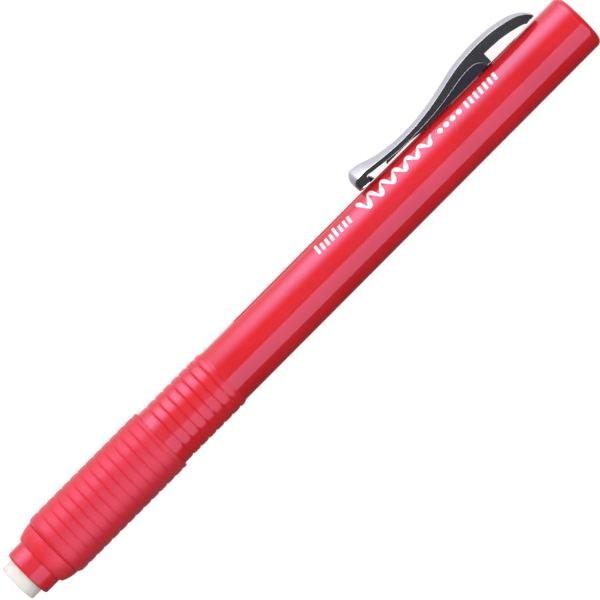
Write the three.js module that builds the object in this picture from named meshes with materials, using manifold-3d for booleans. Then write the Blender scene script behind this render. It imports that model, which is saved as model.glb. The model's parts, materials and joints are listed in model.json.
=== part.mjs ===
// A retractable stick eraser in a pen-shaped holder. Millimetres, +Z up.
//
// Every piece is drawn in the holder's own frame: X runs along its axis from the tail end (0) to the
// eraser's tip, and Z points at the clip. The holder is then laid on its side on the floor, with +X
// towards the tip and the clip drooping towards -Y, and its origin is the bottom centre of its box.

import * as THREE from "three";
import { mergeVertices } from "three/addons/utils/BufferGeometryUtils.js";
import Module from "manifold-3d";

// Along the axis, from the tail end
const LENGTH = 125.8;
const PLUG_HEAD_END = 1.3;
const PLUG_END = 5.0;
const STEP_X = 79.4;
const GRIP_START = 93.6;
const GRIP_END = 117.5;
const COLLAR_END = 120.6;
const NOZZLE_END = 123.6;

// Radii
const STICK_R = 3.4;
const GUIDE_R = 3.55;
const BORE_R = 4.15;
const BARREL_R = 5.1;
const TAIL_FILLET = 1.1;
const RIB_CREST_R = 5.36;
const RIB_GROOVE_R = 5.16;
const CORE_R = 4.75;
const GRIP_BORE_R = 4.85;
const GRIP_CREST_R = 5.8;
const GRIP_GROOVE_R = 5.53;
const NOZZLE_R = 4.3;
const COLLAR_BACK_R = 5.4;
const COLLAR_FRONT_R = 4.65;
const TONGUE_R = 4.6;
const TONGUE_LENGTH = 5.0;
const NOZZLE_TONGUE_R = 4.05;
const NOZZLE_TONGUE_START = 114.5;
const NOZZLE_EDGE = 0.5;
const GUIDE_LENGTH = 5.0;
const GUIDE_LEAD_IN = 1.0;
const PLUG_WALL = 0.9;

// Gaps between pieces that touch on the real object
const SEAM = 0.1;
const FIT = 0.1;

// Ribs and grooves
const RIB_PITCH = 1.745;
const RIB_COUNT = 7;
const RIB_LAND = 1.9;
const RIB_SHOULDER = 0.2;
const GRIP_GROOVES = 13;
const FRONT_LAND = 2.1;
const GRIP_EDGE = 0.25;

// The slot, and the notches opposite it that the detent clicks along
const SLOT_START = 9.4;
const SLOT_END = 72.6;
const SLOT_HALF = 0.75;
const CLICK = 2.0;
const NOTCH_FIRST = 26.0;
const NOTCH_COUNT = 27;
const NOTCH_LENGTH = 1.1;
const NOTCH_WIDTH = 2.4;
const NOTCH_DEPTH = 0.35;

// Carriage, holder and refill
const CARRIAGE_START = 10.0;
const CARRIAGE_BLOCK_END = 24.5;
const CARRIAGE_R = 3.95;
const CARRIAGE_CHAMFER = 0.5;
const SPINE_R = 2.9;
const SPINE_BORE_R = 1.9;
const SPINE_END = 44.6;
const HOLDER_START = 39.5;
const HOLDER_END = 58.0;
const HOLDER_R = 4.0;
const HOLDER_WALL_X = 45.0;
const HOLDER_WALL = 0.7;
const HOLDER_BORE_R = 3.5;
const HOLDER_SLIT = 0.7;
const HOLDER_SLIT_LENGTH = 8.0;
const STICK_START = 45.85;
const STICK_CHAMFER = 0.3;
const KEY_HALF = 0.5;
const KEY_START = 17.9;
const KEY_TOP = 4.95;

// The springy finger under the carriage's spine, from its fixed end back to its tooth
const FINGER_FIXED_X = 39.1;
const FINGER_BEND_X = 35.5;
const FINGER_RAMP_X = 30.77;
const FINGER_TOOTH_FRONT = 30.22;
const FINGER_TOOTH_BACK = 29.67;
const FINGER_END_X = 28.9;
const FINGER_LEAF = 0.25;
const FINGER_DROP = 0.45;
const FINGER_TOOTH_R = 4.37;
const FINGER_HALF = 0.9;

// Clip pivot, pin and spring
const PIVOT_X = 15.2;
const PIVOT_Z = 2.4;
const PIN_R = 0.5;
const PIN_HALF = 2.9;
const PIN_HOLE_R = 0.62;
const FOOT_HALF = 0.45;
const POCKET_HALF = 0.95;
const POCKET_START = 10.9;
const POCKET_END = 17.2;
const POCKET_FLOOR = -1.6;
const SPRING_X = 12.3;
const SPRING_TOP = 1.75;
const SPRING_R = 0.6;
const SPRING_WIRE_R = 0.13;
const SPRING_TURNS = 5;

// Clip
const CLIP_START = 5.0;
const CLIP_END = 43.9;
const CLIP_WALL = 0.7;
const CLIP_ROOF = 0.8;
const CLIP_POST_START = 14.9;
const CLIP_POST_END = 15.7;
const CLIP_FOOT_END = 6.9;
const CLIP_LIP_START = 43.05;
const CLIP_FOOT_Z = 5.7;
const CLIP_LIP_Z = 5.52;
const PAD_TOP_FRONT = 42.2;
const PAD_TOP_BACK = 41.7;
const PAD_TOP_Z = 6.9;
const PAD_FOOT_FRONT = 41.6;
const PAD_FOOT_BACK = 40.8;
const PAD_HALF = 2.0;
const CLIP_HEM_Z = 5.5;
const CLIP_STATIONS = 26;

// The web under the clip, and its foot inside the carriage
const WEB_FRONT = 37.8;
const WEB_LEAN = 1.2;
const WEB_STEP = 4.0;
const FOOT_BACK = 14.0;
const FOOT_FRONT = 16.9;
const FOOT_BOTTOM = 0.9;
const FOOT_HUB = 1.1;
const FOOT_HEEL = 0.5;
const FOOT_TOE = 0.7;
const FOOT_TOE_RISE = 1.1;
const ARM_BACK = 11.5;
const ARM_TOP = 2.9;

// How the holder lies
const CLIP_DROOP = 18;

// How finely round shapes are drawn
const AROUND = 28;
const PIN_AROUND = 16;
const COIL_STEPS = 12;
const WIRE_SEGMENTS = 3;
const SLOT_END_SEGMENTS = 6;
const COLLAR_STEPS = 4;
const REAR_HOLLOW_STEPS = 6;
const FRONT_HOLLOW_STEPS = 14;

// How far a cutting shape reaches past the piece it cuts
const CUT_PAST = 1.0;

const wasm = await Module();
wasm.setup();

function toSolid(geometry) {
  const bare = geometry.clone();
  bare.deleteAttribute("normal");
  bare.deleteAttribute("uv");
  const merged = mergeVertices(bare, 1e-5);
  return new wasm.Manifold(
    new wasm.Mesh({
      numProp: 3,
      vertProperties: new Float32Array(merged.attributes.position.array),
      triVerts: new Uint32Array(merged.index.array),
    }),
  );
}

function toGeometry(solid) {
  const mesh = solid.getMesh();
  const geometry = new THREE.BufferGeometry();
  geometry.setAttribute("position", new THREE.BufferAttribute(mesh.vertProperties, 3));
  geometry.setIndex(new THREE.BufferAttribute(mesh.triVerts, 1));
  geometry.computeVertexNormals();
  return geometry;
}

function join(geometries) {
  return geometries.map(toSolid).reduce((whole, next) => whole.add(next));
}

// Turns a profile of [x, radius] points about the X axis. The profile runs along the outside towards
// +X and comes back along the bore, or starts and ends on the axis.
function turned(profile, segments = AROUND) {
  const points = profile.map(([x, radius]) => new THREE.Vector2(radius, x));
  return new THREE.LatheGeometry(points, segments).rotateZ(-Math.PI / 2);
}

function ring(outer, boreRadius) {
  const first = outer[0];
  const last = outer[outer.length - 1];
  return turned([...outer, [last[0], boreRadius], [first[0], boreRadius], first]);
}

function block(x0, x1, y0, y1, z0, z1) {
  const box = new THREE.BoxGeometry(x1 - x0, y1 - y0, z1 - z0);
  return box.translate((x0 + x1) / 2, (y0 + y1) / 2, (z0 + z1) / 2);
}

// A flat plate drawn in the XZ plane and centred on Y = 0.
function plate(outline, halfWidth) {
  const shape = new THREE.Shape(outline.map(([x, z]) => new THREE.Vector2(x, z)));
  const flat = new THREE.ExtrudeGeometry(shape, { depth: 2 * halfWidth, bevelEnabled: false });
  return flat.rotateX(Math.PI / 2).translate(0, halfWidth, 0);
}

function crossPin(x, z, radius, halfLength) {
  return new THREE.CylinderGeometry(radius, radius, 2 * halfLength, PIN_AROUND).translate(x, 0, z);
}

// Points of a row of convex ribs, the first groove at x: each rib is flat on its crest and falls to a
// narrow groove on either side.
function ribs(x, count, pitch, crestRadius, grooveRadius) {
  const shoulder = RIB_SHOULDER * pitch;
  const points = [];
  for (let i = 0; i < count; i += 1) {
    const groove = x + i * pitch;
    points.push([groove - shoulder, crestRadius], [groove, grooveRadius], [groove + shoulder, crestRadius]);
  }
  return points;
}

function rearBarrel() {
  const tongueEnd = STEP_X + TONGUE_LENGTH;
  const tube = ring(
    [
      [PLUG_HEAD_END + SEAM, BARREL_R],
      [STEP_X, BARREL_R],
      [STEP_X, TONGUE_R],
      [tongueEnd, TONGUE_R],
    ],
    BORE_R,
  );
  const cutters = join([slotCutter(), ...notchCutters()]);
  return toGeometry(toSolid(tube).subtract(cutters));
}

function slotCutter() {
  const shape = new THREE.Shape();
  shape.absarc(SLOT_START + SLOT_HALF, 0, SLOT_HALF, Math.PI / 2, 1.5 * Math.PI);
  shape.absarc(SLOT_END - SLOT_HALF, 0, SLOT_HALF, -Math.PI / 2, Math.PI / 2);
  const options = { depth: BARREL_R, bevelEnabled: false, curveSegments: SLOT_END_SEGMENTS };
  return new THREE.ExtrudeGeometry(shape, options).translate(0, 0, PIVOT_Z);
}

function notchCutters() {
  const cutters = [];
  for (let i = 0; i < NOTCH_COUNT; i += 1) {
    const x = NOTCH_FIRST + i * CLICK;
    const half = NOTCH_LENGTH / 2;
    const bottom = -BORE_R - NOTCH_DEPTH;
    cutters.push(block(x - half, x + half, -NOTCH_WIDTH / 2, NOTCH_WIDTH / 2, bottom, -SPINE_R));
  }
  return cutters;
}

function frontBarrel() {
  const start = STEP_X + SEAM;
  const ribsEnd = GRIP_START - SEAM;
  const lapEnd = STEP_X + TONGUE_LENGTH + SEAM;
  const firstGroove = ribsEnd - RIB_LAND - (RIB_COUNT - 1) * RIB_PITCH;
  const counterbore = NOZZLE_TONGUE_START - SEAM;
  const guideStart = counterbore - GUIDE_LENGTH;
  return turned([
    [start, RIB_CREST_R],
    ...ribs(firstGroove, RIB_COUNT, RIB_PITCH, RIB_CREST_R, RIB_GROOVE_R),
    [ribsEnd, RIB_CREST_R],
    [ribsEnd, CORE_R],
    [GRIP_END, CORE_R],
    [GRIP_END, NOZZLE_TONGUE_R + FIT],
    [counterbore, NOZZLE_TONGUE_R + FIT],
    [counterbore, GUIDE_R],
    [guideStart, GUIDE_R],
    [guideStart - GUIDE_LEAD_IN, BORE_R],
    [lapEnd, BORE_R],
    [lapEnd, TONGUE_R + FIT],
    [start, TONGUE_R + FIT],
    [start, RIB_CREST_R],
  ]);
}

// An arc of points from one angle to another, in degrees, as [x, radius].
function arc(x, radius, size, from, to, steps) {
  return Array.from({ length: steps + 1 }, (_, i) => {
    const angle = THREE.MathUtils.degToRad(from + ((to - from) * i) / steps);
    return [x + size * Math.cos(angle), radius + size * Math.sin(angle)];
  });
}

function tailPlug() {
  const spigotR = BORE_R - FIT;
  const cupR = spigotR - PLUG_WALL;
  return turned([
    [0, 0],
    ...arc(TAIL_FILLET, BARREL_R - TAIL_FILLET, TAIL_FILLET, 180, 90, 5),
    [PLUG_HEAD_END, BARREL_R],
    [PLUG_HEAD_END, spigotR],
    [PLUG_END, spigotR],
    [PLUG_END, cupR],
    [PLUG_HEAD_END, cupR],
    [PLUG_HEAD_END, 0],
  ]);
}

function rubberGrip() {
  const lastGroove = GRIP_END - FRONT_LAND;
  const firstGroove = lastGroove - (GRIP_GROOVES - 1) * RIB_PITCH;
  return ring(
    [
      [GRIP_START, GRIP_CREST_R - GRIP_EDGE],
      [GRIP_START + GRIP_EDGE, GRIP_CREST_R],
      ...ribs(firstGroove, GRIP_GROOVES, RIB_PITCH, GRIP_CREST_R, GRIP_GROOVE_R),
      [GRIP_END - 2 * GRIP_EDGE, GRIP_CREST_R],
      [GRIP_END, GRIP_CREST_R - GRIP_EDGE],
    ],
    GRIP_BORE_R,
  );
}

// A convex taper from the grip's size down to the nozzle's.
function gripCollar() {
  const start = GRIP_END + SEAM;
  const end = COLLAR_END - SEAM;
  const outside = Array.from({ length: COLLAR_STEPS + 1 }, (_, i) => {
    const share = i / COLLAR_STEPS;
    return [start + share * (end - start), COLLAR_BACK_R - (COLLAR_BACK_R - COLLAR_FRONT_R) * share ** 2];
  });
  return ring(outside, NOZZLE_TONGUE_R + FIT);
}

function nozzle() {
  return ring(
    [
      [NOZZLE_TONGUE_START, NOZZLE_TONGUE_R],
      [COLLAR_END, NOZZLE_TONGUE_R],
      [COLLAR_END, NOZZLE_R],
      ...arc(NOZZLE_END - NOZZLE_EDGE, NOZZLE_R - NOZZLE_EDGE, NOZZLE_EDGE, 90, 0, 4),
    ],
    GUIDE_R,
  );
}

function sliderCarriage() {
  const keyEnd = CARRIAGE_BLOCK_END - CARRIAGE_CHAMFER;
  const body = turned([
    [CARRIAGE_START, 0],
    [CARRIAGE_START, CARRIAGE_R - CARRIAGE_CHAMFER],
    [CARRIAGE_START + CARRIAGE_CHAMFER, CARRIAGE_R],
    [keyEnd, CARRIAGE_R],
    [CARRIAGE_BLOCK_END, SPINE_R],
    [SPINE_END, SPINE_R],
    [SPINE_END, SPINE_BORE_R],
    [CARRIAGE_BLOCK_END, SPINE_BORE_R],
    [CARRIAGE_BLOCK_END, 0],
  ]);
  const key = block(KEY_START, keyEnd, -KEY_HALF, KEY_HALF, PIVOT_Z, KEY_TOP);
  const pocket = block(POCKET_START, POCKET_END, -POCKET_HALF, POCKET_HALF, POCKET_FLOOR, BARREL_R);
  const pinHole = crossPin(PIVOT_X, PIVOT_Z, PIN_HOLE_R, BARREL_R);
  const solid = join([body, key]).subtract(toSolid(pocket)).subtract(toSolid(pinHole));
  return toGeometry(solid);
}

function eraserHolder() {
  const cup = turned([
    [HOLDER_START, HOLDER_R],
    [HOLDER_END, HOLDER_R],
    [HOLDER_END, HOLDER_BORE_R],
    [HOLDER_WALL_X + HOLDER_WALL, HOLDER_BORE_R],
    [HOLDER_WALL_X + HOLDER_WALL, SPINE_BORE_R],
    [HOLDER_WALL_X, SPINE_BORE_R],
    [HOLDER_WALL_X, SPINE_R + FIT],
    [HOLDER_START, SPINE_R + FIT],
    [HOLDER_START, HOLDER_R],
  ]);
  const slitStart = HOLDER_END - HOLDER_SLIT_LENGTH;
  const half = HOLDER_SLIT / 2;
  const reach = HOLDER_R + CUT_PAST;
  const slits = join([
    block(slitStart, HOLDER_END + CUT_PAST, -half, half, -reach, reach),
    block(slitStart, HOLDER_END + CUT_PAST, -reach, reach, -half, half),
  ]);
  return toGeometry(toSolid(cup).subtract(slits));
}

function eraserStick() {
  return turned([
    [STICK_START, 0],
    [STICK_START, STICK_R - STICK_CHAMFER],
    [STICK_START + STICK_CHAMFER, STICK_R],
    ...arc(LENGTH - STICK_CHAMFER, STICK_R - STICK_CHAMFER, STICK_CHAMFER, 90, 0, 2),
    [LENGTH, 0],
  ]);
}

class Helix extends THREE.Curve {
  constructor(radius, height, turns) {
    super();
    this.radius = radius;
    this.height = height;
    this.turns = turns;
  }

  getPoint(t, target = new THREE.Vector3()) {
    const angle = 2 * Math.PI * this.turns * t;
    return target.set(this.radius * Math.cos(angle), this.radius * Math.sin(angle), this.height * t);
  }
}

function clipSpring() {
  const height = SPRING_TOP - POCKET_FLOOR - 4 * SPRING_WIRE_R;
  const wire = new THREE.Shape();
  wire.absarc(0, 0, SPRING_WIRE_R, 0, 2 * Math.PI);
  const coil = new THREE.ExtrudeGeometry(wire, {
    steps: SPRING_TURNS * COIL_STEPS,
    curveSegments: WIRE_SEGMENTS,
    bevelEnabled: false,
    extrudePath: new Helix(SPRING_R, height, SPRING_TURNS),
  });
  return coil.translate(SPRING_X, 0, POCKET_FLOOR + 2 * SPRING_WIRE_R);
}

// A leaf fixed under the spine. Its free end carries the tooth that sits in a notch.
function detentFinger() {
  const top = -SPINE_R - FIT;
  const lowTop = top - FINGER_DROP;
  return plate(
    [
      [FINGER_FIXED_X, top],
      [FINGER_BEND_X, top],
      [FINGER_END_X, lowTop],
      [FINGER_END_X, lowTop - FINGER_LEAF],
      [FINGER_TOOTH_BACK, -FINGER_TOOTH_R],
      [FINGER_TOOTH_FRONT, -FINGER_TOOTH_R],
      [FINGER_RAMP_X, lowTop - FINGER_LEAF],
      [FINGER_BEND_X, top - FINGER_LEAF],
      [FINGER_FIXED_X, top - FINGER_LEAF],
    ],
    FINGER_HALF,
  );
}

// Straight-line value at x of a rising list of [x, value] points.
function along(points, x) {
  const next = points.findIndex(([px]) => px >= x);
  if (next === 0) return points[0][1];
  if (next < 0) return points[points.length - 1][1];
  const [x0, v0] = points[next - 1];
  const [x1, v1] = points[next];
  return v0 + ((v1 - v0) * (x - x0)) / (x1 - x0);
}

// The same through a smooth curve.
function smooth(points, samples = 80) {
  const curve = new THREE.SplineCurve(points.map(([x, value]) => new THREE.Vector2(x, value)));
  return curve.getPoints(samples).map((p) => [p.x, p.y]);
}

// Height of the clip's side edges, from the raised thumb end over the waist to the domed nose.
const CLIP_EDGE = smooth([
  [CLIP_START, 6.05],
  [6.0, 7.15],
  [8.2, 8.1],
  [11.3, 8.75],
  [15.0, 8.98],
  [19.2, 8.72],
  [23.9, 7.72],
  [28.6, 6.92],
  [33.4, 6.65],
  [38.1, 6.88],
  [41.2, 7.25],
  [42.8, 7.15],
  [CLIP_END, 6.3],
]);

// How far the middle of the top stands above those edges.
const CLIP_CROWN = smooth([
  [CLIP_START, 0.15],
  [8.2, 0.45],
  [15.0, 0.45],
  [28.6, 0.4],
  [33.4, 0.5],
  [38.1, 0.8],
  [41.2, 1.3],
  [42.8, 1.45],
  [CLIP_END, 0.9],
]);

const CLIP_HALF_WIDTH = smooth([
  [CLIP_START, 1.7],
  [6.2, 2.3],
  [10.0, 2.55],
  [17.0, 2.55],
  [25.0, 2.3],
  [32.0, 2.2],
  [37.0, 2.45],
  [41.0, 2.85],
  [42.8, 2.75],
  [CLIP_END, 1.9],
]);

// Lower edge of the side walls: the rear foot, the open space behind the post, the post, and the arch
// in front of it that runs down to the waist.
const CLIP_HEM = [
  [CLIP_START, CLIP_FOOT_Z],
  [CLIP_FOOT_END, CLIP_FOOT_Z],
  [8.2, 6.3],
  [9.8, 6.7],
  [12.0, 7.0],
  [CLIP_POST_START - 0.05, 7.15],
  [CLIP_POST_START, CLIP_HEM_Z],
  [CLIP_POST_END, CLIP_HEM_Z],
  [16.1, 6.5],
  [17.2, 7.1],
  [18.6, 7.2],
  [21.0, 6.95],
  [24.0, 6.4],
  [28.0, 5.95],
  [34.0, 5.8],
  [38.0, 6.2],
  [41.0, 6.75],
  [CLIP_LIP_START - 0.05, 6.6],
  [CLIP_LIP_START, CLIP_LIP_Z],
  [CLIP_END, CLIP_LIP_Z],
];

// Skins a row of closed sections, each a list of [x, y, z] with the same number of points.
function loft(sections) {
  const count = sections[0].length;
  const positions = sections.flat(2);
  const triangles = [];
  for (let i = 0; i < sections.length - 1; i += 1) {
    for (let j = 0; j < count; j += 1) {
      const a = i * count + j;
      const b = i * count + ((j + 1) % count);
      triangles.push(a, a + count, b, b, a + count, b + count);
    }
  }
  const last = (sections.length - 1) * count;
  for (let j = 1; j < count - 1; j += 1) {
    triangles.push(0, j, j + 1, last, last + j + 1, last + j);
  }
  const geometry = new THREE.BufferGeometry();
  geometry.setAttribute("position", new THREE.Float32BufferAttribute(positions, 3));
  geometry.setIndex(triangles);
  return geometry;
}

function clipSection(x) {
  const half = along(CLIP_HALF_WIDTH, x);
  const edge = along(CLIP_EDGE, x);
  const crown = along(CLIP_CROWN, x);
  const hem = along(CLIP_HEM, x);
  const top = [-1, -0.7, -0.35, 0, 0.35, 0.7, 1].map((f) => [x, f * half, edge + crown * (1 - f * f)]);
  return [[x, half, hem], [x, -half, hem], ...top];
}

function hollowSection(x) {
  const half = along(CLIP_HALF_WIDTH, x) - CLIP_WALL;
  const roof = along(CLIP_EDGE, x) - CLIP_ROOF;
  return [
    [x, half, 0],
    [x, -half, 0],
    [x, -half, roof],
    [x, half, roof],
  ];
}

function hollow(from, to, steps) {
  const stations = Array.from({ length: steps + 1 }, (_, i) => from + ((to - from) * i) / steps);
  return toSolid(loft(stations.map(hollowSection)));
}

// The thin plate under the middle of the clip, and the foot that reaches down through the slot to
// the pin, with an arm over the spring.
function clipWeb() {
  const inRoof = (x) => along(CLIP_EDGE, x) - CLIP_ROOF / 2;
  const top = [];
  for (let x = WEB_FRONT - WEB_LEAN; x > FOOT_FRONT; x -= WEB_STEP) {
    top.push([x, inRoof(x)]);
  }
  return plate(
    [
      [FOOT_BACK, inRoof(PIVOT_X)],
      [FOOT_BACK, PIVOT_Z + FOOT_HUB],
      [ARM_BACK, ARM_TOP],
      [ARM_BACK, SPRING_TOP + FIT],
      [FOOT_BACK, FOOT_BOTTOM + FOOT_HEEL],
      [FOOT_BACK + FOOT_HEEL, FOOT_BOTTOM],
      [FOOT_FRONT - FOOT_TOE, FOOT_BOTTOM],
      [FOOT_FRONT, FOOT_BOTTOM + FOOT_TOE_RISE],
      [FOOT_FRONT, CLIP_HEM_Z],
      [WEB_FRONT, CLIP_HEM_Z],
      ...top,
    ],
    FOOT_HALF,
  );
}

// The slanting pad across the underside of the nose that presses on a pocket's edge.
function clipPad() {
  return plate(
    [
      [PAD_TOP_FRONT, PAD_TOP_Z],
      [PAD_TOP_BACK, PAD_TOP_Z],
      [PAD_FOOT_BACK, CLIP_LIP_Z],
      [PAD_FOOT_FRONT, CLIP_LIP_Z],
    ],
    PAD_HALF,
  );
}

function clipStations() {
  const hem = CLIP_HEM.map(([x]) => x);
  const step = (CLIP_END - CLIP_START) / CLIP_STATIONS;
  const even = Array.from({ length: CLIP_STATIONS }, (_, i) => CLIP_START + i * step);
  const apart = even.filter((x) => hem.every((h) => Math.abs(h - x) > 0.2 * step));
  return [...apart, ...hem].sort((a, b) => a - b);
}

function clipLever() {
  const shell = toSolid(loft(clipStations().map(clipSection)));
  return toGeometry(
    shell
      .subtract(hollow(CLIP_FOOT_END, CLIP_POST_START, REAR_HOLLOW_STEPS))
      .subtract(hollow(CLIP_POST_END, CLIP_LIP_START, FRONT_HOLLOW_STEPS))
      .add(join([clipWeb(), clipPad()]))
      .subtract(toSolid(crossPin(PIVOT_X, PIVOT_Z, PIN_HOLE_R, BARREL_R))),
  );
}

function clipPivotPin() {
  return crossPin(PIVOT_X, PIVOT_Z, PIN_R, PIN_HALF);
}

const FINISH = {
  redPlastic: { color: 0xd92532, roughness: 0.18, metalness: 0 },
  redRubber: { color: 0xe0404e, roughness: 0.75, metalness: 0 },
  redSatin: { color: 0xd93a4c, roughness: 0.4, metalness: 0 },
  whitePlastic: { color: 0xe4e2dc, roughness: 0.45, metalness: 0 },
  eraser: { color: 0xf4f1ee, roughness: 0.85, metalness: 0 },
  bright: { color: 0xc9cbd2, roughness: 0.15, metalness: 1 },
  steel: { color: 0x9b9ca0, roughness: 0.3, metalness: 1 },
};

const PIECES = [
  ["rear_barrel", rearBarrel, "redPlastic"],
  ["front_barrel", frontBarrel, "redPlastic"],
  ["tail_plug", tailPlug, "redPlastic"],
  ["rubber_grip", rubberGrip, "redRubber"],
  ["grip_collar", gripCollar, "redSatin"],
  ["nozzle", nozzle, "redPlastic"],
  ["slider_carriage", sliderCarriage, "whitePlastic"],
  ["eraser_holder", eraserHolder, "whitePlastic"],
  ["eraser_stick", eraserStick, "eraser"],
  ["clip_lever", clipLever, "bright"],
  ["clip_pivot_pin", clipPivotPin, "steel"],
  ["clip_spring", clipSpring, "steel"],
  ["detent_finger", detentFinger, "steel"],
];

const holder = new THREE.Group();
for (const [name, make, finish] of PIECES) {
  const mesh = new THREE.Mesh(make(), new THREE.MeshStandardMaterial(FINISH[finish]));
  mesh.name = name;
  holder.add(mesh);
}
holder.rotation.x = THREE.MathUtils.degToRad(90 + CLIP_DROOP);

const assembly = new THREE.Group();
assembly.add(holder);
const box = new THREE.Box3().setFromObject(assembly, true);
const centre = box.getCenter(new THREE.Vector3());
holder.position.set(-centre.x, -centre.y, -box.min.z);

export default assembly;
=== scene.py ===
"""The looks of a retractable stick eraser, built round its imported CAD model. The scene is in metres.

Pieces are drawn in millimetres in the holder's own frame, as the CAD model is: X runs from the tail
end to the eraser's tip, and Z points at the clip. HOLDER takes that frame to the row frame.
"""

import json
import math
from bisect import bisect_right

import bmesh
import bpy
from mathutils import Matrix, Vector


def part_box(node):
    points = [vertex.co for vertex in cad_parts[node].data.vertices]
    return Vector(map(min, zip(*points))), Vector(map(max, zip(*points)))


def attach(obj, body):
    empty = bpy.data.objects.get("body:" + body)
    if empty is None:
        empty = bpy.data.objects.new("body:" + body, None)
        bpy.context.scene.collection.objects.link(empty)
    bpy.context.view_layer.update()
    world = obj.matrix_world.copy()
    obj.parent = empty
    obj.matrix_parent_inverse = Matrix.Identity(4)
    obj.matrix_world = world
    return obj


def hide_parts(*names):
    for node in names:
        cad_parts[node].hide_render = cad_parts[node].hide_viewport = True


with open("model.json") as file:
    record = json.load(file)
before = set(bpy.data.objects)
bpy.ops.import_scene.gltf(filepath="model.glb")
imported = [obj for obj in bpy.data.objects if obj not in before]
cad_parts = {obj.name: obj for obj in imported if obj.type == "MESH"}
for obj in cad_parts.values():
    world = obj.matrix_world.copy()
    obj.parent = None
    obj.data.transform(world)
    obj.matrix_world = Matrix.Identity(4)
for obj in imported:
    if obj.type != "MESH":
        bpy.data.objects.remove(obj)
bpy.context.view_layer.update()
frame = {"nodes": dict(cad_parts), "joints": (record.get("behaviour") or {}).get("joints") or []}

MM = 0.001

# Facets round a turned piece, and the angle in degrees above which an edge stays sharp.
AROUND = 144
SHARP = 38

# ---------------------------------------------------------------- the holder's frame

PRESS = next(j for j in frame["joints"] if j["name"] == "clip_press")
ALONG = Vector((1, 0, 0))
SIDE = -Vector(PRESS["axis"]).normalized()
CLIP_WAY = ALONG.cross(SIDE)


def placed(origin, x_way, y_way, z_way):
    """The matrix that puts a thing's origin and its three axes there."""
    return Matrix.Translation(origin) @ Matrix((x_way, y_way, z_way)).transposed().to_4x4()


def middle(node):
    low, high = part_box(node)
    return (low + high) / 2


TAIL_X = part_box("tail_plug")[0].x
AXIS = Vector((TAIL_X, middle("rubber_grip").y, middle("rubber_grip").z))
HOLDER = placed(AXIS, ALONG * MM, SIDE * MM, CLIP_WAY * MM)
PIVOT = HOLDER.inverted() @ Vector(PRESS["pos_m"])


def span(node):
    """Where a node starts and ends along the holder, in mm from the tail end."""
    low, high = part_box(node)
    return (low.x - TAIL_X) / MM, (high.x - TAIL_X) / MM


def radius(node):
    """Half a node's height, in mm."""
    low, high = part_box(node)
    return (high.z - low.z) / 2 / MM


LENGTH = span("eraser_stick")[1]
SEAM_X = span("rear_barrel")[0]
STEP_X = span("front_barrel")[0]
GRIP_START, GRIP_END = span("rubber_grip")
COLLAR_START, COLLAR_END = span("grip_collar")
NOZZLE_END = span("nozzle")[1]
CLIP_START, CLIP_END = span("clip_lever")
BARREL_R = radius("rear_barrel")
RIB_R = radius("front_barrel")
GRIP_R = radius("rubber_grip")
COLLAR_R = radius("grip_collar")
NOZZLE_R = radius("nozzle")
STICK_R = radius("eraser_stick")
BORE_R = BARREL_R - 0.95

# Where pieces meet, in mm.
JOIN = 0.006
TONGUE_R = 4.6
LAP_R = 4.7
LAP_END = 84.5
CORE_R = 4.75
GRIP_BORE_R = 4.85
NOZZLE_TONGUE_R = 4.05
COLLAR_BORE_R = 4.15
COLLAR_FRONT_R = 4.65
COLLAR_EDGE_R = 4.7
COLLAR_FACE_R = 4.6
NOZZLE_GAP = 0.02
GUIDE_R = 3.55
GUIDE_START = 109.4
GUIDE_END = 114.4
GUIDE_LEAD_IN = 1.0

# The slot that the clip slides along.
SLOT_START = 9.4
SLOT_END = 72.6
SLOT_HALF = 0.75
SLOT_CUT_LOW = 2.5
SLOT_CUT_HIGH = 6.5
SLOT_END_STEPS = 24
SLOT_BEVEL = 0.06

# The tail plug, with its spigot and cup.
PLUG_FILLET = 1.1
PLUG_FLAT_EDGE = 0.4
PLUG_DEPTH = 5.0
PLUG_SPIGOT_R = 4.05
PLUG_CUP_R = 3.15

# The step in front of the plain tube, the ribs and the grip's grooves.
PITCH = 1.745
RIBS = 7
RIB_DEPTH = 0.16
RIB_LAND = 1.9
GRIP_GROOVES = 13
GRIP_DEPTH = 0.13
GRIP_FRONT_LAND = 2.1
STEP_RISE = 0.9

# Flat plates get thinner by this share for each mm above this height.
TAPER = 0.03
TAPER_Z = 5.5

# ---------------------------------------------------------------- mesh helpers


def new_object(name, data):
    """An object in the scene."""
    made = bpy.data.objects.new(name, data)
    bpy.context.scene.collection.objects.link(made)
    return made


def make_piece(name, points, faces, finish, body, slot, replaces=(), sharp=SHARP):
    """A closed mesh from points in the holder's frame, riding on a body."""
    mesh = bpy.data.meshes.new(name)
    mesh.from_pydata([HOLDER @ Vector(p) for p in points], [], faces)
    bm = bmesh.new()
    bm.from_mesh(mesh)
    bmesh.ops.recalc_face_normals(bm, faces=bm.faces)
    bm.to_mesh(mesh)
    bm.free()
    soften(mesh, sharp)
    piece = new_object(name, mesh)
    mesh.materials.append(finish)
    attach(piece, body)
    if replaces:
        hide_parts(*replaces)
    return piece


def soften(mesh, sharp):
    """Smooth shading, apart from edges sharper than an angle in degrees."""
    mesh.shade_smooth()
    mesh.set_sharp_from_angle(angle=math.radians(sharp))


def rounded(corners, steps=5):
    """An outline of (x, radius, fillet) corners with each fillet drawn as a short curve."""
    points = []
    for i, (x, r, fillet) in enumerate(corners):
        here = Vector((x, r))
        if fillet == 0:
            points.append(here)
            continue
        before = Vector(corners[i - 1][:2]) - here
        after = Vector(corners[(i + 1) % len(corners)][:2]) - here
        start = here + before.normalized() * min(fillet, before.length / 2)
        end = here + after.normalized() * min(fillet, after.length / 2)
        for k in range(steps + 1):
            t = k / steps
            points.append(start * (1 - t) ** 2 + here * 2 * t * (1 - t) + end * t * t)
    return [tuple(p) for p in points]


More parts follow.
